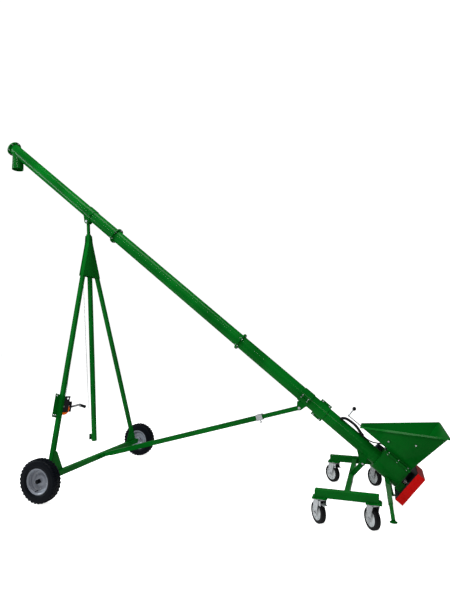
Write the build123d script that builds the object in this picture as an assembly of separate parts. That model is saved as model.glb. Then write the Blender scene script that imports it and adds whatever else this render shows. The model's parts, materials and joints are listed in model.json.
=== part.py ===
from build123d import *
import math
import os

# ---------------------------------------------------------------- driving sizes (mm, degrees)
slope = 39.0                 # tube angle above the floor
axis_height = 2810.0         # tube axis above the floor, over the road axle
tube_od, tube_wall = 133.0, 3.0
head_at, joint_one, joint_two = -1700.0, 235.0, 2125.0    # along the tube, from above the axle
coupling_at, box_start, box_end = 3150.0, 3790.0, 4044.0
flange_od, flange_thick, flange_circle = 180.0, 8.0, 157.0
spout_x, spout_drop, spout_od = -1257.0, 222.0, 130.0
collar_od, collar_high = 134.0, 60.0          # rolled seat for the down-spout sleeve
shaft_od, flight_od, flight_pitch, flight_thick = 34.0, 117.0, 120.0, 3.0
box_half, box_top, box_wall = 95.0, 112.0, 4.0
rim_height, rim_end, rim_half_wide, hopper_wall = 712.0, 3504.0, 379.0, 3.0
gate_travel = 220.0
track, wheel_od, wheel_width = 1840.0, 400.0, 100.0
axle_bar, leg_bar, mast_bar, sleeve_bar = 50.0, 40.0, 40.0, 46.0
pivot_top = (-200.0, 2855.0)          # mast head pin, x and z
mast_lean = 3.39
sleeve_low, sleeve_high = 167.0, 650.0     # distances down the mast from the head pin
mast_length = 2490.0
rod_pin_low = (75.0, 225.0)
rod_pin_high = (2246.0, 841.0)
trolley_x, trolley_len, trolley_track = 2712.0, 500.0, 1160.0
caster_od, beam_low, beam_size = 180.0, 212.0, (60.0, 62.0)
caster_span, caster_trail, spine_bar = 420.0, 28.0, 42.0
trolley_pin = (2816.0, 368.0)
caster_turn = {"near_upper": -52.0, "near_lower": -55.0, "far_upper": -42.0, "far_lower": -49.0}
stand_top, stand_foot = (3022.0, 60.0, 266.0), (3066.0, 350.0, 8.0)
motor_y, motor_p, motor_r = 178.0, 10.0, 70.0
guard_a, guard_p, guard_y = (4098.0, 4172.0), (-155.0, 147.0), (-120.0, 222.0)

# ---------------------------------------------------------------- clearances
run_gap = 0.05          # radial, pins and shafts in their bores
slide_gap = 0.5         # each side, square bars in square tubes
bolt_gap = 0.4          # radial, bolts in their holes
joint_gap = 0.5         # between faces that move past each other

os.makedirs("parts", exist_ok=True)
along = Pos(0, 0, axis_height) * Rot(0, slope, 0)      # tube frame: x down the tube, z off it
cs, sn = math.cos(math.radians(slope)), math.sin(math.radians(slope))


pieces = {}


def save(name, shape):
    pieces[name] = shape


def block(x0, x1, y0, y1, z0, z1):
    return Pos((x0 + x1) / 2, (y0 + y1) / 2, (z0 + z1) / 2) * Box(x1 - x0, y1 - y0, z1 - z0)


def rod_x(x0, x1, r, y=0.0, z=0.0):
    return Pos((x0 + x1) / 2, y, z) * Rot(0, 90, 0) * Cylinder(r, x1 - x0)


def rod_y(y0, y1, r, x=0.0, z=0.0):
    return Pos(x, (y0 + y1) / 2, z) * Rot(90, 0, 0) * Cylinder(r, y1 - y0)


def rod_z(z0, z1, r, x=0.0, y=0.0):
    return Pos(x, y, (z0 + z1) / 2) * Cylinder(r, z1 - z0)


def pipe_x(x0, x1, r, wall):
    return rod_x(x0, x1, r) - rod_x(x0 - 1, x1 + 1, r - wall)


def square_tube(length, size, wall, from_z=0.0):
    outer = block(-size / 2, size / 2, -size / 2, size / 2, from_z, from_z + length)
    k = size / 2 - wall
    return outer - block(-k, k, -k, k, from_z - 1, from_z + length + 1)


def frame_at(start, end, x_hint=(1, 0, 0)):
    """Local frame whose z runs from one point to the other."""
    a, b = Vector(*start), Vector(*end)
    z = (b - a).normalized()
    hint = Vector(*x_hint)
    x = (hint - z * hint.dot(z)).normalized()
    return Plane(origin=a, x_dir=x, z_dir=z).location


def span(start, end):
    return (Vector(*end) - Vector(*start)).length


def tube_point(a, p, y=0.0):
    return (a * cs + p * sn, y, axis_height - a * sn + p * cs)


def joined(shapes):
    result = shapes[0]
    for s in shapes[1:]:
        result = result + s
    return result


def group(shapes):
    return Compound(children=list(shapes))


def bolt_x(x0, x1, r, y, z, head=1.7):
    """Bolt along x gripping x0..x1, head on the x0 side, nut on the x1 side."""
    hexa = extrude(RegularPolygon(r * head, 6), r * 1.25)
    body = rod_x(x0, x1 + r * 1.9, r, y, z)
    body = body + Pos(x0 - r * 1.25, y, z) * Rot(0, 90, 0) * hexa
    return body + Pos(x1, y, z) * Rot(0, 90, 0) * hexa


def turned_bolt(place, length, r):
    """Bolt along the local z of a place, gripping 0..length."""
    hexa = extrude(RegularPolygon(r * 1.7, 6), r * 1.25)
    body = rod_z(-0.5, length + r * 1.9, r) + Pos(0, 0, -r * 1.25) * hexa + Pos(0, 0, length) * hexa
    return place * body


# ---------------------------------------------------------------- tube sections
tube_r = tube_od / 2
bore_r = tube_r - tube_wall
flange_turns = [30 + 60 * k for k in range(6)]
bolt_r = 5.0
polar = [(flange_circle / 2 * math.cos(math.radians(t)), flange_circle / 2 * math.sin(math.radians(t)))
         for t in flange_turns]


def flange(x0, x1):
    disc = rod_x(x0, x1, flange_od / 2) - rod_x(x0 - 1, x1 + 1, bore_r)
    for y, z in polar:
        disc = disc - rod_x(x0 - 1, x1 + 1, bolt_r + bolt_gap, y, z)
    return disc


upper = rod_x(head_at, joint_one, tube_r)
drop_top = axis_height - spout_x * math.tan(math.radians(slope))
spout = rod_z(drop_top - spout_drop, drop_top, spout_od / 2, spout_x)
bored = rod_z(drop_top - spout_drop - 1, drop_top, spout_od / 2 - tube_wall, spout_x)
seat = rod_z(drop_top - spout_drop, drop_top - spout_drop + collar_high, collar_od / 2, spout_x)
tube_upper = along * upper + spout + seat
tube_upper = tube_upper - along * rod_x(head_at - 1, joint_one + 1, bore_r) - bored
tube_upper = tube_upper + along * (flange(head_at, head_at + flange_thick)
                                   + flange(joint_one - flange_thick, joint_one))
save("tube_upper", tube_upper)

middle = pipe_x(joint_one, joint_two, tube_r, tube_wall) + flange(joint_one, joint_one + flange_thick)
middle = middle + flange(joint_two - flange_thick, joint_two)
save("tube_middle", along * middle)

lower = pipe_x(joint_two, coupling_at - 1, tube_r, tube_wall) + flange(joint_two, joint_two + flange_thick)
save("tube_lower", along * lower)

# head plate with its bearing boss
plate = rod_x(head_at - flange_thick, head_at, flange_od / 2)
plate = plate + rod_x(head_at - flange_thick - 34, head_at - flange_thick, 38)
plate = plate - rod_x(head_at - 60, head_at + 1, shaft_od / 2 + run_gap)
for y, z in polar:
    plate = plate - rod_x(head_at - 20, head_at + 1, bolt_r + bolt_gap, y, z)
save("head_plate", along * plate)

bolts = []
for y, z in polar:
    bolts.append(bolt_x(head_at - flange_thick, head_at + flange_thick, bolt_r, y, z))
    for at in (joint_one, joint_two):
        bolts.append(bolt_x(at - flange_thick, at + flange_thick, bolt_r, y, z))
save("flange_bolts", along * group(bolts))

# ---------------------------------------------------------------- intake box
shelf = 26.0                       # outward flange that carries the hopper


def u_solid(x0, x1, inset):
    r = box_half - inset
    return block(x0, x1, -r, r, 0, box_top + (1 if inset else 0)) + rod_x(x0, x1, r)


box = u_solid(box_start, box_end, 0) - u_solid(box_start + box_wall, box_end - 6, box_wall)
for side in (-1, 1):
    y0, y1 = sorted((side * (box_half - box_wall), side * (box_half + shelf)))
    box = box + block(box_start, box_end, y0, y1, box_top - 5, box_top)
box = box + block(box_end - 6, box_end, -102, 102, -60, box_top)
box = box + rod_x(coupling_at + 1, box_start + 2, tube_r)
box = box - rod_x(coupling_at - 5, box_start + box_wall + 1, bore_r)
box = box - rod_x(box_end - 20, box_end + 5, shaft_od / 2 + 3)
gate_slot = 6.0                # height of the rails that carry the hopper over the gate
shelf_bolts = [(box_start + 30 + k * 97, side * (box_half + 13)) for k in range(3) for side in (-1, 1)]
for side in (-1, 1):
    y0, y1 = sorted((side * 84, side * (box_half + shelf)))
    box = box + block(box_start, box_end, y0, y1, box_top - 1, box_top + gate_slot)
for a, y in shelf_bolts:
    box = box - rod_z(box_top - 8, box_top + 10, 4 + bolt_gap, a, y)
# carriers for the belt side plate
for y in (-84.0, 70.0):
    box = box + block(box_end - 1, guard_a[0] - 4, y, y + 8, -88, -10)
intake = along * box
# lug for the trolley arm and sockets for the two stand legs
pin_x, pin_z = trolley_pin


def under_tube(x, deeper=0.0):
    """Height of the underside of the tube over a place on the floor line."""
    return axis_height - x * sn / cs - tube_r / cs + deeper


lug = extrude(Plane.XZ * make_face(Polyline(
    (pin_x - 50, under_tube(pin_x - 50, 14)), (pin_x - 18, pin_z - 18), (pin_x + 18, pin_z - 18),
    (pin_x + 40, under_tube(pin_x + 40, 14)), (pin_x - 50, under_tube(pin_x - 50, 14)))), 5, both=True)
keep_off = along * rod_x(coupling_at, box_end - 10, tube_r - 1)
for y in (-19.0, 19.0):
    intake = intake + (Pos(0, y, 0) * lug - keep_off)
intake = intake - rod_y(-40, 40, 6 + run_gap, pin_x, pin_z)
stand_bar, stand_wall, stand_in = 38.0, 3.0, 31.0
stand_in_len = 210.0
legs = []
for side in (-1, 1):
    top = (stand_top[0], side * stand_top[1], stand_top[2])
    foot = (stand_foot[0], side * stand_foot[1], stand_foot[2])
    place = frame_at(foot, top)
    full = span(foot, top)
    socket = square_tube(full - 150, stand_bar, stand_wall, 150) - block(-60, 60, -60, 60, full + 40,
            full + 90)
    socket = place * socket - along * rod_x(box_start - 100, box_end + 5, box_half - 2)
    intake = intake + socket
    inner = square_tube(stand_in_len, stand_in, 3, 4)
    pad = Pos(*foot) * (Pos(0, 0, -8 + 2) * Cylinder(32, 4))
    pad = pad + Pos(*foot) * (Pos(0, 0, 1) * Cylinder(20, 8))
    leg = place * inner + pad
    leg = leg - block(foot[0] - 60, foot[0] + 60, foot[1] - 60, foot[1] + 60, -40, 0)
    legs.append(leg)
intake = intake - along * (rod_x(box_start + 10, box_end - 6, box_half - box_wall))
intake = intake.solids().sort_by(SortBy.VOLUME)[-1]
save("intake_box", intake)
save("stand_leg_near", legs[0])
save("stand_leg_far", legs[1])

# ---------------------------------------------------------------- hopper
base = box_top + gate_slot
skirt_top = 138.0
left = ((axis_height + skirt_top * cs - rim_height) / sn)     # tube position of the low rim corner
edge_x = left * cs + skirt_top * sn
right = tube_point(box_end, skirt_top)
near_l, far_l = Vector(edge_x, -90, rim_height), Vector(edge_x, 90, rim_height)
near_r, far_r = Vector(rim_end, -rim_half_wide, rim_height), Vector(rim_end, rim_half_wide, rim_height)
near_b, far_b = Vector(right[0], -90, right[2]), Vector(right[0], 90, right[2])


def face(*pts):
    return Face(Wire.make_polygon(list(pts), close=True))


wedge = Solid(Shell([face(near_l, near_r, far_r, far_l), face(near_l, far_l, far_b, near_b),
                     face(near_l, near_b, near_r), face(far_l, far_r, far_b), face(near_b, far_b, far_r,
                             near_r)]))
top_face = wedge.faces().sort_by(Axis.Z)[-1]
funnel = offset(wedge, amount=-hopper_wall, openings=[top_face])
funnel = funnel - along * block(box_start + 12, box_end - 5, -86, 86, skirt_top - 8, skirt_top + 12)
skirt = block(box_start + 8, box_end, -90, 90, base, skirt_top + 1)
skirt = skirt - block(box_start + 12, box_end - 4, -86, 86, base - 1, skirt_top + 20)
for side in (-1, 1):
    y0, y1 = sorted((side * 87, side * (box_half + shelf)))
    skirt = skirt + block(box_start, box_end, y0, y1, base, base + 5)
for a, y in shelf_bolts:
    skirt = skirt - rod_z(base - 1, base + 6, 4 + bolt_gap, a, y)
lip_low = Plane.XY.offset(rim_height - 13) * make_face(Polyline(
    (edge_x - 7, -90 - 14), (rim_end + 16, -rim_half_wide - 18), (rim_end + 16, rim_half_wide + 18),
    (edge_x - 7, 90 + 14), (edge_x - 7, -90 - 14)))
lip_high = Plane.XY.offset(rim_height) * make_face(Polyline(
    (edge_x - 1, -91), (rim_end + 1, -rim_half_wide - 1), (rim_end + 1, rim_half_wide + 1),
    (edge_x - 1, 91), (edge_x - 1, -91)))
lip = loft([lip_low, lip_high])
lip = lip - Pos(0, 0, -3.4) * lip - wedge
lip = lip - along * rod_x(3300, 3700, 8, 0, 128)
hopper = funnel + along * skirt + lip
hopper_pins = [(3044.0, 606.0), (3262.0, 606.0)]          # x and z of the grid bars


def wall_y(x, z):
    n = (near_r - near_l).cross(near_b - near_l)
    return (n.dot(near_l) - n.X * x - n.Z * z) / n.Y


for x, z in hopper_pins:
    reach = abs(wall_y(x, z)) + 60
    hopper = hopper - rod_y(-reach, reach, 6.0, x, z)
save("hopper", hopper)
grid_parts = []
for x, z in hopper_pins:
    reach = abs(wall_y(x, z)) - 5.0
    grid_parts.append(rod_y(-reach, reach, 5.4, x, z))
    grid_parts.append(rod_y(-reach - 14, -reach + 2, 5.4, x, z) + rod_y(-reach - 19, -reach - 13, 6.8, x,
            z))
    grid_parts.append(rod_y(reach - 2, reach + 14, 5.4, x, z) + rod_y(reach + 13, reach + 19, 6.8, x, z))
inner_half = abs(wall_y(hopper_pins[0][0], hopper_pins[0][1])) - 36.0
for k in range(-2, 3):
    grid_parts.append(rod_x(hopper_pins[0][0] - 60, hopper_pins[1][0] + 90, 4.0, k * inner_half / 2,
            hopper_pins[0][1] + 7))
for k in (-1, 1):
    grid_parts.append(rod_x(hopper_pins[1][0] - 12, hopper_pins[1][0] + 90, 4.0, k * inner_half * 1.55,
            hopper_pins[0][1] + 7))
save("hopper_grid", joined(grid_parts))

# gate and its lever
gate_z = box_top + joint_gap
gate = block(box_start - 2, box_end - 8, -84 + joint_gap, 84 - joint_gap, gate_z, gate_z + 4.0)
gate = gate + block(box_start - 8, box_start - 1, -11, 11, gate_z, 134)
gate = gate + rod_x(3362, box_start - 6, 5, 0, 128)
gate = gate + rod_z(121, 198, 6, 3370)
save("gate", along * gate)
knob = Pos(3370, 0, 212) * Sphere(18) - rod_z(150, 198.02, 6.02, 3370)
save("gate_knob", along * knob)
bolts = []
for a, y in shelf_bolts:
    bolts.append(turned_bolt(Pos(a, y, box_top - 5), base + 10 - box_top, 4.0))
save("hopper_bolts", along * group(bolts))

# ---------------------------------------------------------------- screw
shaft = rod_x(head_at - 46, guard_a[0] + 56, shaft_od / 2)
save("screw_shaft", along * shaft)
inner_r, outer_r = shaft_od / 2 + 0.1, flight_od / 2
turn = flight_pitch - 0.6
helix = Helix(pitch=flight_pitch, height=turn, radius=(inner_r + outer_r) / 2)
section = Plane(origin=helix @ 0, x_dir=(1, 0, 0), z_dir=helix % 0) * Rectangle(outer_r - inner_r,
        flight_thick)
flight = sweep(section, path=helix, is_frenet=True)
count = int((box_end - 14 - (head_at + 30)) // flight_pitch)
flights = [along * Pos(head_at + 30 + k * flight_pitch, 0, 0) * Rot(0, 90,
        0) * flight for k in range(count)]
save("screw_flights", group(flights))

# ---------------------------------------------------------------- bearing, belt drive, motor
housing = rod_x(box_end, box_end + 26, 44) + block(box_end, box_end + 10, -62, 62, -34, 34)
housing = housing - rod_x(box_end - 2, box_end + 40, shaft_od / 2 + run_gap)
save("tail_bearing", along * housing)
back = block(guard_a[0] - 4, guard_a[0], guard_y[0] + 3, guard_y[1] - 3, guard_p[0] + 3, guard_p[1] - 3)
back = back - rod_x(4000, 4200, 24) - rod_x(4000, 4200, 22, motor_y, motor_p)
save("belt_plate", along * back)


def guard_box(k, back_x):
    return block(back_x, guard_a[1] - k, guard_y[0] + k, guard_y[1] - k, guard_p[0] + k, guard_p[1] - k)


guard = guard_box(0, guard_a[0]) - guard_box(2.0, guard_a[0] - 1)
guard = guard + block(guard_a[0], guard_a[0] + 2, guard_y[0], guard_y[0] + 12, guard_p[0], guard_p[1])
save("belt_guard", along * guard)
belt_a = (guard_a[0] + 14, guard_a[0] + 54)


def pulley(r, y, z, bore):
    wheel = rod_x(belt_a[0], belt_a[1], r, y, z)
    groove = rod_x(belt_a[0] + 11, belt_a[1] - 11, r + 2, y, z) - rod_x(belt_a[0], belt_a[1], r - 9, y, z)
    return wheel - groove - rod_x(belt_a[0] - 1, belt_a[1] + 1, bore, y, z)


save("screw_pulley", along * pulley(75.0, 0, 0, shaft_od / 2))
rotor = pulley(36.0, motor_y, motor_p, 12.0) + rod_x(guard_a[0] - 30, belt_a[1], 12.0, motor_y, motor_p)
save("motor_rotor", along * rotor)


def belt_outline(grow):
    big = CenterArc((0, 0), 66.5 + grow, 0, 360)
    small = Pos(motor_y, motor_p) * CenterArc((0, 0), 27.5 + grow, 0, 360)
    return make_face(make_hull([*big.edges(), *small.edges()]))


belt = extrude(belt_outline(8.0), 17) - extrude(belt_outline(0.0), 17)
belt = Plane(origin=(belt_a[0] + 11.5, 0, 0), x_dir=(0, 1, 0), z_dir=(1, 0, 0)).location * belt
save("drive_belt", along * belt)

motor = rod_x(3800, guard_a[0] - 14, motor_r, motor_y, motor_p)
motor = motor + rod_x(guard_a[0] - 14, guard_a[0] - 4, 62, motor_y, motor_p)
motor = motor - rod_x(guard_a[0] - 32, guard_a[0], 12 + run_gap, motor_y, motor_p)
motor = motor + block(3850, 3945, motor_y - 30, motor_y + 34, motor_p + motor_r - 14, 118)
motor = motor + rod_x(3836, 3851, 9, motor_y, 98)
cover = rod_x(3738, 3800, motor_r - 1, motor_y, motor_p) - rod_x(3742, 3801, motor_r - 4, motor_y, motor_p)
save("motor_body", along * (motor + cover))

# cable held on the tube: rubber conduit first, thin cable on to the motor
cable_path = FilletPolyline((3332, -34, 60), (3392, -34, 98), (3486, -34, 102), (3568, -28, 72), (3640,
        -10, 73),
                            (3712, 60, 88), (3760, motor_y, 98), (3836, motor_y, 98), radius=22)
thin = sweep(Plane(cable_path ^ 0).location * Circle(6.0), path=cable_path)
thick_path = FilletPolyline((3332, -34, 60), (3392, -34, 98), (3486, -34, 102), (3556, -28.9, 76.4),
        radius=22)
thick = sweep(Plane(thick_path ^ 0).location * Circle(14.0), path=thick_path)
cable = (thin + thick) - rod_x(3200, 3790, tube_r + 0.05)
save("motor_cable", along * cable)

# ---------------------------------------------------------------- clamps on the tube
ear = 24.0


def half_clamp(a0, a1, side, wall=5.0):
    """Half sleeve on the side given (+1 far / -1 near), ears above and below."""
    shell = rod_x(a0, a1, tube_r + wall) - rod_x(a0 - 1, a1 + 1, tube_r)
    for s in (-1, 1):
        z0, z1 = sorted((s * (tube_r + 2), s * (tube_r + ear)))
        shell = shell + block(a0, a1, -8, 8, z0, z1)
    cut = block(a0 - 1, a1 + 1, *sorted((-side * 200, side * 1.5)), -200, 200)
    shell = shell - cut
    for a in (a0 + 20, a1 - 20):
        for s in (-1, 1):
            shell = shell - rod_y(-20, 20, 5 + bolt_gap, a, s * (tube_r + 14))
    return shell


c0, c1 = coupling_at - 55, coupling_at + 60
save("coupling_halves", along * group([half_clamp(c0, c1, -1), half_clamp(c0, c1, 1)]))
clamp_bolts = []
for a in (c0 + 20, c1 - 20):
    for s in (-1, 1):
        clamp_bolts.append(along * turned_bolt(Pos(a, -8, s * (tube_r + 14)) * Rot(-90, 0, 0), 16, 5.0))

# tie rod clamp, split level with the tube axis, lug below for the rod
rod_a0, rod_a1 = 2915.0, 3025.0


def flat_half(a0, a1, up, wall=6.0):
    shell = rod_x(a0, a1, tube_r + wall) - rod_x(a0 - 1, a1 + 1, tube_r)
    for s in (-1, 1):
        y0, y1 = sorted((s * (tube_r + 2), s * (tube_r + ear)))
        shell = shell + block(a0, a1, y0, y1, -10, 10)
    shell = shell - block(a0 - 1, a1 + 1, -200, 200, *sorted((-up * 200, up * 3.5)))
    for a in (a0 + 22, a1 - 22):
        for s in (-1, 1):
            shell = shell - rod_z(-20, 20, 5 + bolt_gap, a, s * (tube_r + 14))
    return shell


hx, hz = rod_pin_high
rod_top = along * flat_half(rod_a0, rod_a1, 1)
rod_bottom = along * flat_half(rod_a0, rod_a1, -1)
hang = extrude(Plane.XZ * make_face(Polyline((hx - 26, hz - 10), (hx - 10, hz - 24), (hx + 12, hz - 22),
        (hx + 74, hz + 24),
               (hx + 40, hz + 75), (hx - 20, hz + 62), (hx - 26, hz - 10))), 4, both=True)
inside = along * rod_x(rod_a0 - 80, rod_a1 + 80, tube_r + 1)
for y in (-30.0, 30.0):
    rod_bottom = rod_bottom + (Pos(0, y, 0) * hang - inside)
rod_bottom = rod_bottom - rod_y(-60, 60, 8 + run_gap, hx, hz)
save("rod_clamp_top", rod_top)
save("rod_clamp_bottom", rod_bottom)
for a in (rod_a0 + 22, rod_a1 - 22):
    for s in (-1, 1):
        clamp_bolts.append(along * turned_bolt(Pos(a, s * (tube_r + 14), -10), 20, 5.0))

# mast clamp: strap over the tube with two cheeks below for the mast head
px, pz = pivot_top
m0, m1 = -262.0, -152.0
strap = rod_x(m0, m1, tube_r + 6) - rod_x(m0 - 1, m1 + 1, tube_r)
for s in (-1, 1):
    y0, y1 = sorted((s * (tube_r + 2), s * (tube_r + ear)))
    strap = strap + block(m0, m1, y0, y1, -8, 8)
mast_clamp = along * strap
cheek = extrude(Plane.XZ * make_face(Polyline((px - 30, pz - 6), (px - 14, pz - 24), (px + 14, pz - 24),
        (px + 40, pz - 2),
                (px + 30, pz + 60), (px - 50, pz + 110), (px - 30, pz - 6))), 4, both=True)
inside = along * rod_x(m0 - 100, m1 + 100, tube_r + 1)
for y in (-29.0, 29.0):
    mast_clamp = mast_clamp + (Pos(0, y, 0) * cheek - inside)
mast_clamp = mast_clamp - rod_y(-60, 60, 8 + run_gap, px, pz)
save("mast_clamp", mast_clamp)


def pivot_pin(x, z, half, r):
    pin = rod_y(-half, half, r, x, z)
    return pin + rod_y(-half - 9, -half, r * 1.6, x, z) + rod_y(half, half + 9, r * 1.6, x, z)


clamp_bolts += [pivot_pin(px, pz, 34, 8.0), pivot_pin(hx, hz, 35, 8.0), pivot_pin(pin_x, pin_z, 25, 6.0)]
save("clamp_bolts", group(clamp_bolts))

# ---------------------------------------------------------------- chassis
winch_up = 660.0           # along the near leg from its foot
axle_z = wheel_od / 2
half_track = track / 2
beam_end = half_track - 78
axle = Rot(90, 0, 0) * square_tube(2 * beam_end, axle_bar, 4, -beam_end)
axle = Pos(0, 0, axle_z) * axle
for side in (-1, 1):
    y0, y1 = sorted((side * (beam_end - 60), side * (half_track + 46)))
    axle = axle + rod_y(y0, y1, 12.5, 0, axle_z)
    y0, y1 = sorted((side * (beam_end - 4), side * beam_end))
    axle = axle + block(-axle_bar / 2, axle_bar / 2, y0, y1, axle_z - axle_bar / 2, axle_z + axle_bar / 2)
lx, lz = rod_pin_low
tab_x, tab_z = axle_bar / 2 - 2, axle_bar / 2 - 1
tab = extrude(Plane.XZ * make_face(Polyline(
    (tab_x, axle_z - tab_z), (lx + 8, lz - 20), (lx + 22, lz), (lx + 8, lz + 20),
    (tab_x, axle_z + tab_z), (tab_x, axle_z - tab_z))), 8, both=True)
axle = axle + tab + rod_y(-30, 30, 10, lx, lz) + rod_y(-34, -30, 15, lx, lz) + rod_y(30, 34, 15, lx, lz)
lean = math.radians(mast_lean)
down = Vector(math.sin(lean), 0, -math.cos(lean))


def mast_point(d, y=0.0):
    return (px + down.X * d, y, pz + down.Z * d)


leg_join, leg_join_y = mast_point(379.4), 50.0
leg_feet_y, leg_feet_x = half_track - 128, -10.0
leg_places = []
for side in (-1, 1):
    foot = (leg_feet_x, side * leg_feet_y, axle_z)
    head = (leg_join[0], side * leg_join_y, leg_join[2])
    leg_places.append(frame_at(foot, head))
leg_full = span((leg_feet_x, leg_feet_y, axle_z), (leg_join[0], leg_join_y, leg_join[2]))
for side in (-1, 1):
    # corner plates between leg foot and axle
    f = side * leg_feet_y
    web_z = axle_z + axle_bar / 2 - 1
    web = extrude(Plane.YZ * make_face(Polyline(
        (f - side * 40, web_z), (f - side * 190, web_z), (f - side * 98, axle_z + 215),
        (f - side * 60, axle_z + 215), (f - side * 10, axle_z + 60), (f - side * 40,
                web_z))), 2.5, both=True)
    place = leg_places[0 if side < 0 else 1]
    leg_clear = leg_bar / 2 + 0.2
    axle = axle + (web - place * block(-leg_clear - 2, leg_clear + 2, -leg_clear, leg_clear, -100, 400))
save("axle_beam", axle)
mast_frame = frame_at(mast_point(mast_length), mast_point(0))     # z up the mast, x towards the intake
keep = sleeve_bar / 2 + 0.3
for name, side, place in (("frame_leg_near", -1, leg_places[0]), ("frame_leg_far", 1, leg_places[1])):
    leg = place * square_tube(leg_full + 180, leg_bar, 3.5, 0)
    leg = leg - block(-60, 60, -1500, 1500, 0, axle_z + axle_bar / 2)
    y0, y1 = sorted((-side * 400, side * keep))
    leg = leg - mast_frame * block(-80, 80, y0, y1, 1500, 2700)
    if side < 0:      # plate behind the winch
        leg = leg + place * block(-leg_bar / 2 - 4, -leg_bar / 2 + 0.5, -78, 18, winch_up - 115,
                winch_up + 115)
    save(name, leg)

sleeve_len = sleeve_high - sleeve_low
low = mast_length - sleeve_high
sleeve = square_tube(sleeve_len, sleeve_bar, (sleeve_bar - mast_bar) / 2 - slide_gap, low)
skin_in = leg_bar / 2 + 5            # inner face of the plates over the leg tops
skin_out = skin_in + 4
wide_low = 50 + (379.4 - sleeve_high) * -0.326 + 24
skin_top = sleeve_bar / 2 + 3
skin = Polyline((-wide_low, low), (wide_low, low), (skin_top + 12, low + sleeve_len - 90), (skin_top,
        low + sleeve_len),
                (-skin_top, low + sleeve_len), (-skin_top - 12, low + sleeve_len - 90), (-wide_low, low))
sheet = extrude(Plane.YZ * make_face(skin), 4)
sleeve = sleeve + Pos(skin_in, 0, 0) * sheet + Pos(-skin_out, 0, 0) * sheet
for s in (-1, 1):
    x0, x1 = sorted((s * (sleeve_bar / 2 - 0.4), s * (skin_in + 0.1)))
    sleeve = sleeve + block(x0, x1, -18, 18, low, low + sleeve_len)
# cheeks below the sleeve for the cable sheave, and the eye that holds the cable end
rope_x, sheave_y, sheave_r = -42.0, -86.0, 20.0
sleeve = sleeve + block(-skin_out, -skin_in, sheave_y - 18, sheave_y + 18, low - 40, low + 1)
sleeve = sleeve + block(-54, -skin_out + 1, sheave_y - 18, sheave_y + 18, low + 2, low + 6)
sleeve = sleeve + block(-54, -50, sheave_y - 18, sheave_y + 18, low - 40, low + 6)
sleeve = sleeve + rod_x(-51, -skin_out + 1, 6, sheave_y, low - 26) + rod_x(-48, -36, sheave_r, sheave_y,
        low - 26)
sleeve = sleeve - (rod_x(-45, -39, sheave_r + 4, sheave_y, low - 26) - rod_x(-46, -38, sheave_r - 5,
        sheave_y, low - 26))
sleeve = sleeve + block(-50, -skin_out + 1, 18, 30, low + 2, low + 12)
save("mast_sleeve", mast_frame * sleeve)

neck_len, neck_bar = 150.0, 28.0      # slimmer bar between the mast tube and the head pin
mast = square_tube(mast_length - neck_len, mast_bar, 3.5, 0)
mast = mast + block(-17.5, 17.5, -17.5, 17.5, mast_length - neck_len - 6, mast_length - neck_len)
head = block(-neck_bar / 2, neck_bar / 2, -neck_bar / 2, neck_bar / 2, mast_length - neck_len - 3,
        mast_length)
head = head + Pos(0, 0, mast_length) * rod_y(-24, 24, 14)
head = head - Pos(0, 0, mast_length) * rod_y(-30, 30, 8 + run_gap)
mast = mast + head
foot_z = 38.0
pulley_r = 24.0
mast = mast + block(-31, -mast_bar / 2 + 0.5, -16, 16, 10, 66) + block(-57, -53, -16, 16, 10,
        72) + block(-57, -mast_bar / 2 + 0.5, -16, 16, 66, 72)
mast = mast + rod_x(-54, -30, 6, 0, foot_z)
mast = mast + block(-mast_bar / 2 - 3, mast_bar / 2 + 3, -mast_bar / 2 - 3, mast_bar / 2 + 3, -4, 0)
save("mast", mast_frame * mast)
wheel = rod_x(-7, 7, pulley_r) - (rod_x(-4, 4, pulley_r + 2) - rod_x(-5, 5, pulley_r - 5)) - rod_x(-9, 9,
        6 + run_gap)
save("mast_pulley", mast_frame * Pos(rope_x, 0, foot_z) * wheel)

# ---------------------------------------------------------------- winch on the inner side of the near leg
drum_x, drum_flange, drum_low, drum_high = 24.0, 32.0, 39.5, 70.0
side_gap = 1.5                       # between the drum and the side plates
disc_r, disc_drop = 56.0, 24.0       # gear cover, and how far its middle is below the drum
wp = leg_places[0] * Pos(0, 0, winch_up)
face_y = leg_bar / 2 + 0.2
outer_y = drum_high + side_gap
frame = block(-leg_bar / 2, 78, face_y, face_y + 4, -56, 104) + block(-14, 74, outer_y, outer_y + 4, -44,
        60)
for x in (-8.0, 66.0):
    for z in (-38.0, 52.0):
        frame = frame + rod_y(face_y + 3, outer_y + 1, 5, x, z)
frame = frame + block(40, 76, face_y + 3, face_y + 26, 96, 100)
frame = frame - rod_y(0, 100, 9 + run_gap, drum_x) - rod_y(0, 40, 9, 56, 80)
save("winch_frame", wp * frame)
drum = rod_y(drum_low, drum_high, 16, drum_x) + rod_y(drum_low, drum_low + 3, drum_flange, drum_x)
drum = drum + rod_y(drum_high - 3, drum_high, drum_flange, drum_x) + rod_y(face_y + 1, outer_y + 6, 9,
        drum_x)
save("winch_drum", wp * drum)
cover = rod_y(face_y + 4.3, drum_low - 1.5, disc_r, drum_x, -disc_drop)
cover = cover - rod_y(face_y + 7, drum_low, disc_r - 2.5, drum_x, -disc_drop)
for x, z in ((-8.0, -38.0), (66.0, -38.0)):
    cover = cover - rod_y(0, 60, 5.4, x, z)
cover = cover - rod_y(0, 60, 10, drum_x)
cover = cover - block(-60, 120, 0, 60, 26, 60)
save("winch_cover", wp * cover)
crank_y = outer_y + 6
crank = rod_y(crank_y, crank_y + 14, 15, drum_x)
crank = crank + block(0, 140, crank_y + 4, crank_y + 12, -10, 10).moved(Location((drum_x, 0, 0), (0, -12,
        0)))
grip_x, grip_z = drum_x + 130 * math.cos(math.radians(12)), 130 * math.sin(math.radians(12))
crank = crank + rod_y(crank_y + 4, crank_y + 116, 6, grip_x, grip_z)
crank = crank + rod_y(crank_y + 18, crank_y + 112, 14, grip_x, grip_z)
save("winch_crank", wp * crank)

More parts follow.
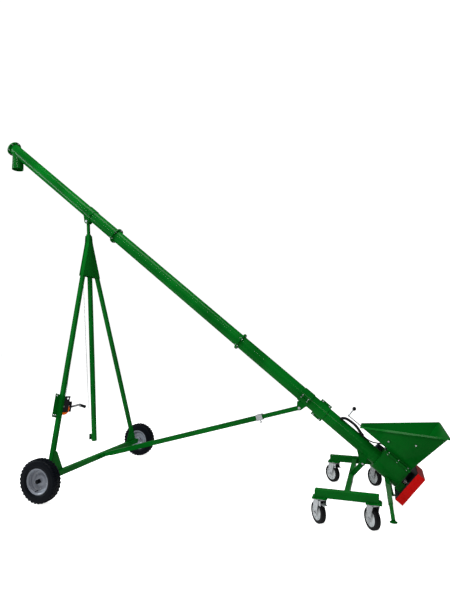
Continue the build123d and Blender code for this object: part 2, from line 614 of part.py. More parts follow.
# lift cable: drum, up beside the leg, over the sheave, down to the mast foot and back up to the sleeve
rope_r = 2.5


def between(p0, p1, r):
    return frame_at(p0, p1, (0, 1, 0)) * rod_z(0, span(p0, p1), r)


def in_mast(x, y, z):
    return tuple((mast_frame * Pos(x, y, z)).position)


rope_low, rope_high = foot_z + 2, low - 24
lift_runs = [between(in_mast(rope_x, -pulley_r + 2.2, rope_low), in_mast(rope_x,
        sheave_y + sheave_r - 2.2, rope_high), rope_r),
             between(in_mast(rope_x, pulley_r - 2.2, rope_low), in_mast(rope_x, pulley_r - 2, low + 2),
                     rope_r)]
lift_cable = group(lift_runs)
save("lift_cable", lift_cable)
drum_exit = tuple((wp * Pos(drum_x - 18.6, (drum_low + drum_high) / 2, 4)).position)
save("winch_cable", between(drum_exit, in_mast(rope_x, sheave_y - sheave_r + 2.2, low - 24), rope_r))

# ---------------------------------------------------------------- road wheels
def turned(points):
    """Revolve a list of (radius, width) points about the y axis."""
    line = Polyline(*points, points[0])
    return revolve(Plane.XY * make_face(line), Axis.Y, 360)


def wheel_rim(sign):
    pts = [(12.55, -38), (27, -38), (27, -14), (92, -14), (96, -26), (96, -33), (111, -38), (115, -38),
            (115, -34), (101.5, -29),
           (101.5, 29), (115, 34), (115, 38), (111, 38), (97, 33), (97, -10), (27, -8), (27, 44), (12.55,
                   44)]
    return turned([(r, w * sign) for r, w in pts])


def wheel_tyre():
    half = wheel_width / 2
    outer = wheel_od / 2
    pts = [(101.6, -28.5), (116, -34), (130, -half + 4), (155, -half), (178, -half + 3), (outer - 8,
            -half + 12), (outer, -half + 24),
           (outer, half - 24), (outer - 8, half - 12), (178, half - 3), (155, half), (130,
                   half - 4), (116, 34), (101.6, 28.5),
           (101.6, 22), (125, 30), (155, half - 12), (176, half - 14), (outer - 16, 18), (outer - 16,
                   -18), (176, -half + 14),
           (155, -half + 12), (125, -30), (101.6, -22)]
    return turned(pts)


for name, side in (("near", -1), ("far", 1)):
    place = Pos(0, side * half_track, axle_z)
    save(f"wheel_rim_{name}", place * wheel_rim(-side))
    save(f"wheel_tyre_{name}", place * wheel_tyre())

# ---------------------------------------------------------------- tie rod
low_pin, high_pin = (lx, 0, lz), (hx, 0, hz)
rp = frame_at(low_pin, high_pin)           # z along the rod, y across
rod_len = span(low_pin, high_pin)
rod_big, rod_small, rod_wall, collar_at = 48.0, 40.0, 3.5, 1812.0
rod_in = rod_big / 2 - rod_wall
outer_rod = square_tube(collar_at - 95, rod_big, rod_wall, 95)
fork = block(-20, 20, -18, -10, -28, 110) + block(-20, 20, 10, 18, -28, 110)
slot = block(-11.5, 11.5, -40, 40, -10.5, 10.5)
for z in (-10.5, 10.5):
    slot = slot + Pos(0, 0, z) * rod_y(-40, 40, 11.5)
outer_rod = outer_rod + (fork - slot) + block(-rod_in - 0.5, rod_in + 0.5, -rod_in - 0.5, rod_in + 0.5,
        95, 99)
save("tie_rod_outer", rp * outer_rod)
inner_rod = square_tube(rod_len - collar_at + 420, rod_small, rod_wall, collar_at - 460)
tip = block(-20, 20, -24, 24, rod_len - 41, rod_len) + Pos(0, 0, rod_len) * rod_y(-24, 24, 20)
tip = tip - Pos(0, 0, rod_len) * rod_y(-30, 30, 8 + run_gap)
save("tie_rod_inner", rp * (inner_rod + tip))
hug, out = rod_small / 2 + 0.3, rod_big / 2 + 5
collar = block(-out, out, -out, out, collar_at, collar_at + 62) - block(-hug, hug, -hug, hug,
        collar_at - 1, collar_at + 70)
collar = collar + rod_x(out, out + 22, 6, 0, collar_at + 30) + rod_y(-30, 30, 4.5, out + 22, collar_at + 30)
save("tie_rod_collar", rp * collar)

# ---------------------------------------------------------------- trolley
bw, bh = beam_size
tx0, tx1 = trolley_x - trolley_len / 2, trolley_x + trolley_len / 2
caster_x = [trolley_x - caster_span / 2, trolley_x + caster_span / 2]
plate_t = 6.0
for name, side in (("near", -1), ("far", 1)):
    y = side * trolley_track / 2
    beam = block(tx0, tx1, y - bw / 2, y + bw / 2, beam_low + plate_t, beam_low + plate_t + bh)
    beam = beam - block(tx0 - 1, tx1 + 1, y - bw / 2 + 4, y + bw / 2 - 4, beam_low + plate_t + 4,
            beam_low + plate_t + bh - 4)
    for x in caster_x:
        pad = block(x - 62, x + 62, y - 52, y + 52, beam_low, beam_low + plate_t)
        for dx in (-44, 44):
            for dy in (-40, 40):
                pad = pad + rod_z(beam_low + plate_t - 1, beam_low + plate_t + 8, 8, x + dx, y + dy)
        pad = pad + rod_z(beam_low - 6, beam_low + 1, 34, x, y) - rod_z(beam_low - 10, beam_low + 3,
                9 + run_gap, x, y)
        beam = beam + pad
    save(f"trolley_beam_{name}", beam)
inner_y = trolley_track / 2 - bw / 2
spine_z = beam_low + plate_t + bh / 2
spine = Pos(trolley_x, 0, spine_z) * Rot(90, 0, 0) * square_tube(2 * inner_y, spine_bar, 3.5, -inner_y)
arm_top = (pin_x, 0, pin_z)
arm_low = (trolley_x + 4, 0, spine_z + 6)
arm = frame_at(arm_low, arm_top) * (block(-21, 21, -13.4, 13.4, 0, span(arm_low, arm_top)))
arm = arm + rod_y(-13.4, 13.4, 16, pin_x, pin_z)
arm = arm - rod_y(-20, 20, 6 + run_gap, pin_x, pin_z)
save("trolley_spine", spine + arm)

caster_r = caster_od / 2
for name, x, side in (("near_upper", caster_x[0], -1), ("near_lower", caster_x[1], -1),
                      ("far_upper", caster_x[0], 1), ("far_lower", caster_x[1], 1)):
    y = side * trolley_track / 2
    hub_x = x - caster_trail
    crown_top = beam_low - 6.5
    fork = rod_z(crown_top - 6, crown_top, 32, x, y) + rod_z(crown_top - 1, beam_low + 2.5, 9, x, y)
    fork = fork + block(hub_x - 24, x + 30, y - 34, y + 34, crown_top - 10, crown_top - 6)
    for s in (-1, 1):
        y0, y1 = sorted((y + s * 30, y + s * 34))
        arm = extrude(Plane.XZ * make_face(Polyline((x + 30, crown_top - 8), (hub_x + 22, caster_r - 6),
                (hub_x + 14, caster_r - 20), (hub_x - 14, caster_r - 20),
                      (hub_x - 24, caster_r + 40), (hub_x - 24, crown_top - 8), (x + 30,
                              crown_top - 8))), 2, both=True)
        fork = fork + Pos(0, (y0 + y1) / 2, 0) * arm
    fork = fork + rod_y(y - 40, y + 40, 6, hub_x, caster_r)
    if name.endswith("upper"):
        fork = fork + block(x + 22, x + 34, y - 30, y + 30, crown_top - 10, crown_top - 6)
        for s in (-1, 1):
            y0, y1 = sorted((y + s * 26, y + s * 30))
            fork = fork + block(x + 26, x + 50, y0, y1, 160, crown_top - 6)
        fork = fork - rod_y(y - 33, y + 33, 5 + run_gap, x + 40, 172)
    turned_to = Pos(x, y, 0) * Rot(0, 0, caster_turn[name]) * Pos(-x, -y, 0)
    save(f"caster_fork_{name}", turned_to * fork)
    roller = rod_y(y - 22, y + 22, caster_r, hub_x, caster_r) + rod_y(y - 29, y + 29, 20, hub_x, caster_r)
    roller = roller - rod_y(y - 50, y + 50, 6 + run_gap, hub_x, caster_r)
    save(f"caster_wheel_{name}", turned_to * roller)
for name, side in (("near", -1), ("far", 1)):
    x, y = caster_x[0], side * trolley_track / 2
    bx = x + 40
    pedal = block(bx, bx + 42, y - 20, y + 20, 170, 174) + rod_y(y - 33, y + 33, 5, bx, 172)
    turned_to = Pos(x, y, 0) * Rot(0, 0, caster_turn[name + "_upper"]) * Pos(-x, -y, 0)
    save(f"brake_pedal_{name}", turned_to * pedal)

# ---------------------------------------------------------------- origin on the floor, mid-length
boxes = [shape.bounding_box() for shape in pieces.values()]
centre_x = round((min(b.min.X for b in boxes) + max(b.max.X for b in boxes)) / 2, 3)
print("axle to origin", centre_x)
for name, shape in pieces.items():
    export_step(Pos(-centre_x, 0, 0) * shape, f"parts/{name}.step")
    print("wrote", name)
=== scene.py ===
import json
import math
import bmesh
import bpy
from mathutils import Matrix, Vector


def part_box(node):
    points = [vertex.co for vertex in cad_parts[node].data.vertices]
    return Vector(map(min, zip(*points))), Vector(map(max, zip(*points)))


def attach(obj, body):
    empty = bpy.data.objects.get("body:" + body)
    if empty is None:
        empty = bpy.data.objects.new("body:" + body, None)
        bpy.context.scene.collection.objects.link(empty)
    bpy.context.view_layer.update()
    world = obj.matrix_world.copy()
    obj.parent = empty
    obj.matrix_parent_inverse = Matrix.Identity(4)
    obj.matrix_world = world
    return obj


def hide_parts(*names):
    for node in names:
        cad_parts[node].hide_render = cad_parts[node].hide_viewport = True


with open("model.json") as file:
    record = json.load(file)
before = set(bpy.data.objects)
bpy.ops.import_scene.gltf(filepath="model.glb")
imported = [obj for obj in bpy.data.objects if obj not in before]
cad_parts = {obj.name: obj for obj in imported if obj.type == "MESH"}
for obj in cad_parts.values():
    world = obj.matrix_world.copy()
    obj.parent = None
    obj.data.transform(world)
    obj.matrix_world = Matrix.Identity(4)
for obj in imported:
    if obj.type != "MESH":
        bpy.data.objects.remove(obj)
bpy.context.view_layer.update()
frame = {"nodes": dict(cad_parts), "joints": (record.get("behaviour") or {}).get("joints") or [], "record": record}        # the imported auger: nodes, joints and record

nodes = frame["nodes"]
print("frame loaded,", len(nodes), "nodes")


# places that the pieces share
def middle(name):
    low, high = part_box(name)
    return (Vector(low) + Vector(high)) / 2


shared = {"slope": 39.0, "axisHeight": 2.81}      # tube angle, and height of its axis over the road axle
axle = middle("wheel_tyre_near")
tubePlace = Matrix.Translation((axle.x, 0,
                                shared["axisHeight"])) @ Matrix.Rotation(math.radians(shared["slope"]), 4,
                                        "Y")


# one shader socket; sums on it add their own nodes
class Wire:
    def __init__(self, tree, socket=None):
        self.tree, self.socket = tree, socket

    def node(self, kind, settings=None, feeds=None, out=0):
        made = self.tree.nodes.new("ShaderNode" + kind)
        for key, value in (settings or {}).items():
            setattr(made, key, value)
        for key, value in (feeds or {}).items():
            if isinstance(value, Wire):
                self.tree.links.new(value.socket, made.inputs[key])
            else:
                made.inputs[key].default_value = value
        return Wire(self.tree, made.outputs[out])

    def maths(self, kind, other, flip=False):
        first, second = (other, self) if flip else (self, other)
        return self.node("Math", {"operation": kind}, {0: first, 1: second})

    def __add__(self, other): return self.maths("ADD", other)
    def __radd__(self, other): return self.maths("ADD", other, True)
    def __sub__(self, other): return self.maths("SUBTRACT", other)
    def __rsub__(self, other): return self.maths("SUBTRACT", other, True)
    def __mul__(self, other): return self.maths("MULTIPLY", other)
    def __rmul__(self, other): return self.maths("MULTIPLY", other, True)

    def smooth(self, low, high):      # 0 below low, 1 above high
        return self.node("MapRange", {"interpolation_type": "SMOOTHSTEP"},
                         {"Value": self, "From Min": low, "From Max": high})

    def tint(self, first, second, how="MIX"):      # first where this mask is 0, second where it is 1
        return self.node("Mix", {"data_type": "RGBA", "blend_type": how}, {0: self, 6: first, 7: second}, 2)

    def noise(self, scale, detail=3.0, rough=0.55):
        return self.node("TexNoise", {},
                         {"Vector": self, "Scale": scale, "Detail": detail, "Roughness": rough})

    def parts(self):      # x, y and z of a vector
        cut = self.node("SeparateXYZ", {}, {0: self}).socket.node
        return [Wire(self.tree, end) for end in cut.outputs]


def newFinish(name):
    material = bpy.data.materials.new(name)
    material.use_nodes = True
    tree = material.node_tree
    shader = tree.nodes["Principled BSDF"]
    wire = Wire(tree)
    return material, shader, wire, wire.node("TexCoord", {}, {}, "Object")


def feed(shader, wire, name):
    wire.tree.links.new(wire.socket, shader.inputs[name])


def setSockets(shader, values):
    for name, value in values.items():
        shader.inputs[name].default_value = value


def bumpInto(shader, wire, height, depth, strength=1.0):
    bump = wire.node("Bump", {}, {"Height": height, "Distance": depth, "Strength": strength})
    feed(shader, bump, "Normal")


# sprayed enamel: cloudy body colour, orange peel, dust low down and on ledges
def enamel(name, look):
    material, shader, wire, spot = newFinish(name)
    cloud = spot.noise(look["cloud"], 4.0)
    fine = spot.noise(190.0, 2.0)
    specks = spot.noise(240.0, 1.0).smooth(0.74, 0.80)
    body = cloud.smooth(0.32, 0.68).tint((*look["deep"], 1), (*look["light"], 1))
    facing = wire.node("NewGeometry", {}, {}, "Normal").parts()[2]
    height = spot.parts()[2]
    ledge = facing.smooth(0.55, 1.0) * fine.smooth(0.40, 0.72)
    low = (1 - height.smooth(0.02, look["dustTop"])) * spot.noise(14.0, 5.0).smooth(0.42, 0.75)
    dust = (ledge * look["ledge"] + low * look["low"]) + specks * look["specks"]
    colour = dust.tint(body, (*look["dust"], 1))
    feed(shader, colour, "Base Color")
    rough = dust * 0.5 + (cloud * look["vary"] + look["rough"])
    feed(shader, rough, "Roughness")
    bumpInto(shader, wire, fine * 0.5 + cloud * 0.5, look["peel"])
    setSockets(shader, {"Coat Weight": look["coat"], "Coat Roughness": look["coatRough"], "IOR": 1.46,
                        "Specular IOR Level": look["gloss"]})
    material.diffuse_color = (*look["light"], 1)
    return material


# zinc and bare metals: spangle or turning lines, small stains
def metal(name, look):
    material, shader, wire, spot = newFinish(name)
    grains = wire.node("TexVoronoi", {"feature": "F1"}, {"Vector": spot, "Scale": look["spangle"]},
                       "Color").parts()[0]
    cloud = spot.noise(9.0, 5.0)
    drawn = wire.node("Mapping", {}, {"Vector": spot, "Scale": look["drawn"]})
    scratch = wire.node("TexNoise", {}, {"Vector": drawn, "Scale": 40.0, "Detail": 3.0})
    stain = spot.noise(27.0, 6.0).smooth(0.60, 0.80) * look["stain"]
    body = grains.tint((*look["deep"], 1), (*look["light"], 1))
    body = (cloud.smooth(0.35, 0.70) * 0.45).tint(body, (*look["light"], 1))
    feed(shader, stain.tint(body, (*look["stainColour"], 1)), "Base Color")
    rough = grains * look["vary"] + (scratch * look["vary"] + (stain * 0.35 + look["rough"]))
    feed(shader, rough, "Roughness")
    feed(shader, look["metallic"] - stain * 0.6, "Metallic")
    bumpInto(shader, wire, scratch * 0.7 + grains * 0.3, look["relief"])
    material.diffuse_color = (*look["light"], 1)
    return material


# rubber and moulded plastic: fine grain, chalky bloom, dust in the tread
def rubber(name, look):
    material, shader, wire, spot = newFinish(name)
    grain = spot.noise(look["grain"], 2.0)
    cloud = spot.noise(6.0, 5.0)
    height = spot.parts()[2]
    low = (1 - height.smooth(0.0, 0.12)) * look["low"] * grain.smooth(0.3, 0.7)
    bloom = cloud.smooth(0.36, 0.72) * look["bloom"] + low
    feed(shader, bloom.tint((*look["deep"], 1), (*look["dust"], 1)), "Base Color")
    feed(shader, grain * 0.16 + (bloom * 0.4 + look["rough"]), "Roughness")
    bumpInto(shader, wire, grain * 0.7 + cloud * 0.3, look["relief"])
    setSockets(shader, {"Specular IOR Level": look["gloss"]})
    material.diffuse_color = (*look["deep"], 1)
    return material


paintBase = {"cloud": 2.3, "dustTop": 0.45, "ledge": 0.03, "low": 0.05, "specks": 0.03, "vary": 0.06,
             "rough": 0.30, "peel": 0.00004, "coat": 0.05, "coatRough": 0.05, "gloss": 0.02,
             "dust": (0.02, 0.07, 0.03)}
metalBase = {"spangle": 120.0, "drawn": (1.0, 1.0, 1.0), "stain": 0.35, "stainColour": (0.20, 0.17, 0.13),
             "vary": 0.14, "rough": 0.24, "metallic": 0.9, "relief": 0.0003, "deep": (0.36, 0.37, 0.39),
             "light": (0.56, 0.57, 0.59)}
rubberBase = {"grain": 900.0, "bloom": 0.015, "low": 0.05, "deep": (0.0012, 0.0020, 0.0040),
              "dust": (0.06, 0.058, 0.055), "rough": 0.40, "relief": 0.0003, "gloss": 0.06}
finishes = {
    "green_paint": enamel("greenEnamel",
                          {**paintBase, "deep": (0.0003, 0.070, 0.005), "light": (0.0006, 0.108, 0.008)}),
    "red_paint": enamel("redEnamel", {**paintBase, "deep": (0.50, 0.003, 0.003),
                                      "light": (0.66, 0.005, 0.004), "rough": 0.30}),
    "black_paint": enamel("blackEnamel",
                          {**paintBase, "deep": (0.010, 0.010, 0.011), "light": (0.020, 0.020, 0.022)}),
    "dark_paint": enamel("motorEnamel",
                         {**paintBase, "deep": (0.045, 0.055, 0.075), "light": (0.070, 0.085, 0.110),
                          "rough": 0.38}),
    "orange_paint": enamel("orangeEnamel",
                           {**paintBase, "deep": (0.72, 0.10, 0.004), "light": (0.90, 0.16, 0.008)}),
    "rim_paint": enamel("silverEnamel",
                        {**paintBase, "deep": (0.15, 0.16, 0.19), "light": (0.26, 0.275, 0.32),
                         "rough": 0.28, "gloss": 0.4}),
    "zinc_steel": metal("zincPlate", metalBase),
    "bare_steel": metal("brightSteel", {**metalBase, "spangle": 60.0, "drawn": (30.0, 1.0, 1.0),
                                        "rough": 0.20,
                                        "deep": (0.42, 0.41, 0.40), "light": (0.60, 0.59, 0.58)}),
    "cast_grey": metal("castIron", {**metalBase, "spangle": 300.0, "metallic": 0.55, "rough": 0.5,
                                    "relief": 0.0012,
                                    "deep": (0.030, 0.032, 0.034), "light": (0.075, 0.078, 0.080)}),
    "caster_rim": enamel("wheelGrey", {**paintBase, "deep": (0.42, 0.43, 0.44), "light": (0.56, 0.57, 0.58),
                                       "rough": 0.32}),
    "wire_rope": metal("ropeSteel", {**metalBase, "spangle": 500.0, "rough": 0.30}),
    "tyre": rubber("tyreRubber", rubberBase),
    "caster_tyre": rubber("casterRubber",
                          {**rubberBase, "deep": (0.006, 0.006, 0.007), "dust": (0.10, 0.10, 0.10)}),
    "belt_rubber": rubber("beltRubber", {**rubberBase, "grain": 400.0, "rough": 0.55}),
    "cable_rubber": rubber("cableRubber", {**rubberBase, "deep": (0.014, 0.014, 0.016), "rough": 0.36}),
    "black_plastic": rubber("mouldedPlastic",
                            {**rubberBase, "grain": 1500.0, "rough": 0.30, "bloom": 0.08, "low": 0.1}),
}
print("finishes made,", len(finishes))


# each CAD node takes the finish of its slot in the record
slotOf = {entry["node"]: entry["material_slot"] for entry in frame["record"]["subparts"]}
for name, node in nodes.items():
    node.data.materials.clear()
    node.data.materials.append(finishes[slotOf[name]])
print("nodes painted,", len(slotOf))


# making and placing pieces
def startFresh():
    if bpy.context.object and bpy.context.object.mode != "OBJECT":
        bpy.ops.object.mode_set(mode="OBJECT")
    bpy.ops.object.select_all(action="DESELECT")


def pickFaces(test):      # in edit mode: selects the faces that pass, and no others
    mesh = bmesh.from_edit_mesh(bpy.context.edit_object.data)
    mesh.select_mode = {"FACE"}
    for face in mesh.faces:
        face.select_set(False)
    count = 0
    for face in mesh.faces:
        if test(face.calc_center_median(), face.normal):
            face.select_set(True)
            count += 1
    bmesh.update_edit_mesh(bpy.context.edit_object.data)
    return count


def lathe(name, loop, steps, finish, angle=35.0):      # (radius, along y) loop, spun about the y axis
    startFresh()
    bpy.ops.mesh.primitive_circle_add(vertices=len(loop), radius=0.1)
    piece = bpy.context.object
    piece.name = name
    for point, (radius, along) in zip(piece.data.vertices, loop):
        point.co = (radius, along, 0)
    bpy.ops.object.mode_set(mode="EDIT")
    bpy.ops.mesh.select_all(action="SELECT")
    bpy.ops.mesh.spin(steps=steps, angle=2 * math.pi, center=(0, 0, 0), axis=(0, 1, 0))
    bpy.ops.mesh.select_all(action="SELECT")
    bpy.ops.mesh.remove_doubles(threshold=0.00002)
    bpy.ops.mesh.delete_loose(use_verts=True, use_edges=True, use_faces=False)
    bpy.ops.mesh.select_all(action="SELECT")
    bpy.ops.mesh.normals_make_consistent(inside=False)
    bpy.ops.object.mode_set(mode="OBJECT")
    bpy.ops.object.shade_smooth_by_angle(angle=math.radians(angle))
    piece.data.materials.append(finishes[finish])
    return piece


def block(name, size, centre, finish, bevel=0.0, segments=2):      # a plate or bar with rolled edges
    startFresh()
    bpy.ops.mesh.primitive_cube_add(size=1.0, location=centre, scale=size)
    piece = bpy.context.object
    piece.name = name
    bpy.ops.object.transform_apply(location=True, rotation=True, scale=True)
    if bevel:
        bpy.ops.object.mode_set(mode="EDIT")
        bpy.ops.mesh.select_all(action="SELECT")
        bpy.ops.mesh.bevel(offset=bevel, segments=segments, affect="EDGES")
        bpy.ops.object.mode_set(mode="OBJECT")
    bpy.ops.object.shade_smooth_by_angle(angle=math.radians(35.0))
    piece.data.materials.append(finishes[finish])
    return piece


def joinAll(name, parts):
    startFresh()
    for part in parts:
        part.select_set(True)
    bpy.context.view_layer.objects.active = parts[0]
    bpy.ops.object.join()
    parts[0].name = name
    return parts[0]


def copyTo(piece, name, place):
    twin = piece.copy()
    twin.data = piece.data.copy()
    twin.name = name
    bpy.context.scene.collection.objects.link(twin)
    twin.data.transform(place)
    if place.determinant() < 0:
        twin.data.flip_normals()
    return twin


def settle(piece, body, stands=()):      # rides on its body and stands for its nodes
    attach(piece, body)
    if stands:
        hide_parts(*stands)


def joint(name):
    return next(one for one in frame["joints"] if one["name"] == name)


def towards(direction, start):      # turns local y onto a direction, at a place
    turned = Vector(direction).normalized().to_track_quat("Y", "Z").to_matrix().to_4x4()
    return Matrix.Translation(start) @ turned


def mirrored(half):      # closed loop from a half profile, (radius, along) with along falling
    return half + [(radius, -along) for radius, along in reversed(half)]


# road wheels: block tread tyre on a deep silver rim with a black dust cap
roadTyre = {"steps": 66, "blockRise": 0.0052, "blockInset": 0.0014, "shoulder": (0.0245, 0.0445),
            "centre": 0.0175}
tyreOuter = [(0.1016, 0.0285), (0.1080, 0.0330), (0.1150, 0.0360), (0.1185, 0.0395), (0.1230, 0.0430),
             (0.1310, 0.0465), (0.1400, 0.0485), (0.1430, 0.0496), (0.1470, 0.0496), (0.1490, 0.0490),
             (0.1600, 0.0494), (0.1700, 0.0488), (0.1740, 0.0490), (0.1780, 0.0480), (0.1850, 0.0462),
             (0.1895, 0.0440), (0.1925, 0.0400), (0.1938, 0.0330), (0.1942, 0.0245), (0.1918, 0.0232),
             (0.1918, 0.0188), (0.1944, 0.0175), (0.1946, 0.0060)]
tyreInner = [(0.1840, -0.0180), (0.1760, -0.0340), (0.1550, -0.0370), (0.1250, -0.0300), (0.1016, -0.0220)]


def makeRoadTyre():
    loop = mirrored(tyreOuter)
    loop += [(radius, along) for radius, along in reversed(tyreInner)]
    loop += [(radius, -along) for radius, along in tyreInner]
    tyre = lathe("roadTyre", loop, roadTyre["steps"], "tyre", 40.0)
    startFresh()
    tyre.select_set(True)
    bpy.context.view_layer.objects.active = tyre
    bpy.ops.object.mode_set(mode="EDIT")
    low, high = roadTyre["shoulder"]

    def blockHere(turn):
        def test(spot, normal):
            radius, across = math.hypot(spot.x, spot.z), spot.y
            steps = roadTyre["steps"]
            index = int(math.degrees(math.atan2(spot.z, spot.x)) / 360 * steps + steps)
            if radius < 0.189:
                return False
            if low < abs(across) < high:
                return (index + (across > 0)) % 2 == turn
            return abs(across) < roadTyre["centre"] and index % 2 != turn
        return test

    pickFaces(blockHere(0))
    bpy.ops.mesh.inset(thickness=roadTyre["blockInset"], depth=roadTyre["blockRise"], use_individual=False)
    bpy.ops.object.mode_set(mode="OBJECT")
    bpy.ops.object.shade_smooth_by_angle(angle=math.radians(28.0))
    return tyre


rimBarrel = [(0.1165, -0.0350), (0.1185, -0.0378), (0.1180, -0.0408), (0.1145, -0.0420), (0.1085, -0.0398),
             (0.1030, -0.0350), (0.0995, -0.0290), (0.0990, -0.0210), (0.0935, -0.0150), (0.0920, -0.0080),
             (0.0920, 0.0120), (0.0990, 0.0220), (0.1000, 0.0320), (0.1080, 0.0380), (0.1150, 0.0400),
             (0.1180, 0.0380), (0.1165, 0.0350), (0.1090, 0.0345), (0.1022, 0.0285), (0.1018, 0.0205),
             (0.0950, 0.0100), (0.0950, -0.0070), (0.0965, -0.0130), (0.1020, -0.0190), (0.1020, -0.0280),
             (0.1060, -0.0340), (0.1110, -0.0365)]
rimNave = [(0.0922, -0.0020), (0.0860, 0.0040), (0.0780, 0.0085), (0.0640, 0.0080), (0.0560, 0.0030),
           (0.0500, -0.0015), (0.0420, -0.0030), (0.0300, -0.0030), (0.0225, -0.0030), (0.0215, -0.0110),
           (0.0200, -0.0125), (0.0130, -0.0125), (0.0130, 0.0430), (0.0240, 0.0430), (0.0255, 0.0415),
           (0.0255, 0.0030), (0.0420, 0.0020), (0.0490, 0.0035), (0.0560, 0.0085), (0.0640, 0.0125),
           (0.0790, 0.0130), (0.0890, 0.0090), (0.0926, 0.0040)]
hubCap = [(0.0, -0.0500), (0.0110, -0.0496), (0.0165, -0.0480), (0.0186, -0.0450), (0.0190, -0.0150),
          (0.0200, -0.0140), (0.0200, -0.0110), (0.0, -0.0110)]
valveStem = [(0.0, -0.0420), (0.0030, -0.0418), (0.0036, -0.0405), (0.0036, -0.0310), (0.0026, -0.0300),
             (0.0030, -0.0200), (0.0052, -0.0170), (0.0062, -0.0130), (0.0, -0.0120)]


def makeRoadWheels():
    tyre = makeRoadTyre()
    rim = joinAll("roadRim", [lathe("barrel", rimBarrel, 72, "rim_paint"),
                              lathe("nave", rimNave, 72, "rim_paint")])
    cap = lathe("hubCap", hubCap, 40, "black_plastic")
    stem = lathe("valve", valveStem, 20, "cable_rubber")
    stem.data.transform(Matrix.Translation((-0.018, 0, -0.0885)))
    bolts = []
    for turn in range(5):      # rivets round the nave
        spin = Matrix.Rotation(math.radians(72 * turn + 18), 4, "Y")
        spin = spin @ Matrix.Translation((0.071, 0.0090, 0))
        bolts.append(copyTo(rivet, f"rivet{turn}", spin))
    studs = joinAll("rimRivets", bolts)
    for side, turn in (("near", 0.0), ("far", 180.0)):
        centre = middle("wheel_tyre_" + side)
        place = Matrix.Translation(centre) @ Matrix.Rotation(math.radians(turn), 4, "Z")
        body = "road_wheel_" + side
        settle(copyTo(tyre, "roadTyre_" + side, place), body, ["wheel_tyre_" + side])
        settle(copyTo(rim, "roadRim_" + side, place), body, ["wheel_rim_" + side])
        settle(copyTo(cap, "hubCap_" + side, place), body)
        settle(copyTo(stem, "valve_" + side, place), body)
        settle(copyTo(studs, "rimRivets_" + side, place), body)
    for spare in (tyre, rim, cap, stem, studs):
        bpy.data.objects.remove(spare)


rivet = lathe("rivet", [(0.0, -0.0035), (0.0026, -0.0032), (0.0045, -0.0020), (0.0050, 0.0), (0.0, 0.0006)],
              12, "zinc_steel")
makeRoadWheels()
print("road wheels made")


# trolley wheels: black tyres with a worn grey tread on pressed light grey discs
casterTyre = [(0.0610, 0.0165), (0.0630, 0.0205), (0.0710, 0.0220), (0.0800, 0.0212), (0.0812, 0.0219),
              (0.0840, 0.0214), (0.0868, 0.0198), (0.0888, 0.0168), (0.0898, 0.0115), (0.0900, 0.0040)]
casterDisc = [(0.0634, 0.0188), (0.0634, 0.0204), (0.0612, 0.0212), (0.0592, 0.0206), (0.0576, 0.0180),
              (0.0556, 0.0135), (0.0520, 0.0118), (0.0470, 0.0112), (0.0420, 0.0128), (0.0340, 0.0165),
              (0.0270, 0.0180), (0.0235, 0.0205), (0.0220, 0.0260), (0.0200, 0.0286), (0.0061, 0.0288)]


def makeCasters():
    tyre = lathe("casterTyre", mirrored(casterTyre), 64, "caster_tyre", 30.0)
    disc = lathe("casterRim", mirrored(casterDisc), 64, "caster_rim", 30.0)
    startFresh()
    disc.select_set(True)
    bpy.context.view_layer.objects.active = disc
    bpy.ops.object.mode_set(mode="EDIT")
    pickFaces(lambda spot, normal: 0.048 < math.hypot(spot.x, spot.z) < 0.060 and abs(spot.y) > 0.010
              and int(math.degrees(math.atan2(spot.z, spot.x)) / 360 * 64 + 64) % 8 in (2, 3, 4))
    bpy.ops.mesh.inset(thickness=0.0022, depth=-0.0035, use_individual=False)
    bpy.ops.object.mode_set(mode="OBJECT")
    bpy.ops.object.shade_smooth_by_angle(angle=math.radians(30.0))
    nut = lathe("axleNut", [(0.0, -0.0435), (0.0050, -0.0435), (0.0100, -0.0425), (0.0104, -0.0348),
                            (0.0, -0.0348)], 6, "zinc_steel", 20.0)
    for spot in ("near_upper", "near_lower", "far_upper", "far_lower"):
        roll = joint("caster_roll_" + spot)
        place = towards(roll["axis"], roll["pos_m"])
        body = "caster_wheel_" + spot
        settle(copyTo(tyre, "casterTyre_" + spot, place), body, ["caster_wheel_" + spot])
        settle(copyTo(disc, "casterRim_" + spot, place), body)
        ends = [copyTo(nut, "end0", place), copyTo(nut, "end1", place @ Matrix.Rotation(math.pi, 4, "Z"))]
        settle(joinAll("axleNuts_" + spot, ends), "caster_" + spot)
    for spare in (tyre, disc, nut):
        bpy.data.objects.remove(spare)


makeCasters()
bpy.data.objects.remove(rivet)
print("trolley wheels made")


# winch on the near leg: rope on the drum, ribbed grip, nuts
winch = {"footBack": 0.010, "footOut": 0.792, "joinDown": 0.3794, "joinOut": 0.050, "lean": 3.39,
         "up": 0.660, "drum": 0.024, "crank": 0.130, "crankTurn": 12.0, "gripStart": 0.0948,
         "gripLength": 0.0955, "gripRadius": 0.0149, "drumRadius": 0.0161, "rope": 0.0047,
         "coil": (0.0430, 0.0665), "nuts": ((-0.060, -0.095), (-0.035, -0.095), (-0.060, 0.095))}


def legPlace():      # z runs up the near leg, x towards the intake
    pin = Vector(joint("mast_tilt")["pos_m"])
    lean = math.radians(winch["lean"])
    head = pin + Vector((math.sin(lean), 0, -math.cos(lean))) * winch["joinDown"]
    foot = Vector((axle.x - winch["footBack"], -winch["footOut"], axle.z))
    up = (Vector((head.x, -winch["joinOut"], head.z)) - foot).normalized()
    across = (Vector((1, 0, 0)) - up * up.x).normalized()
    side = up.cross(across)
    turned = Matrix((across, side, up)).transposed().to_4x4()
    return Matrix.Translation(foot + up * winch["up"]) @ turned


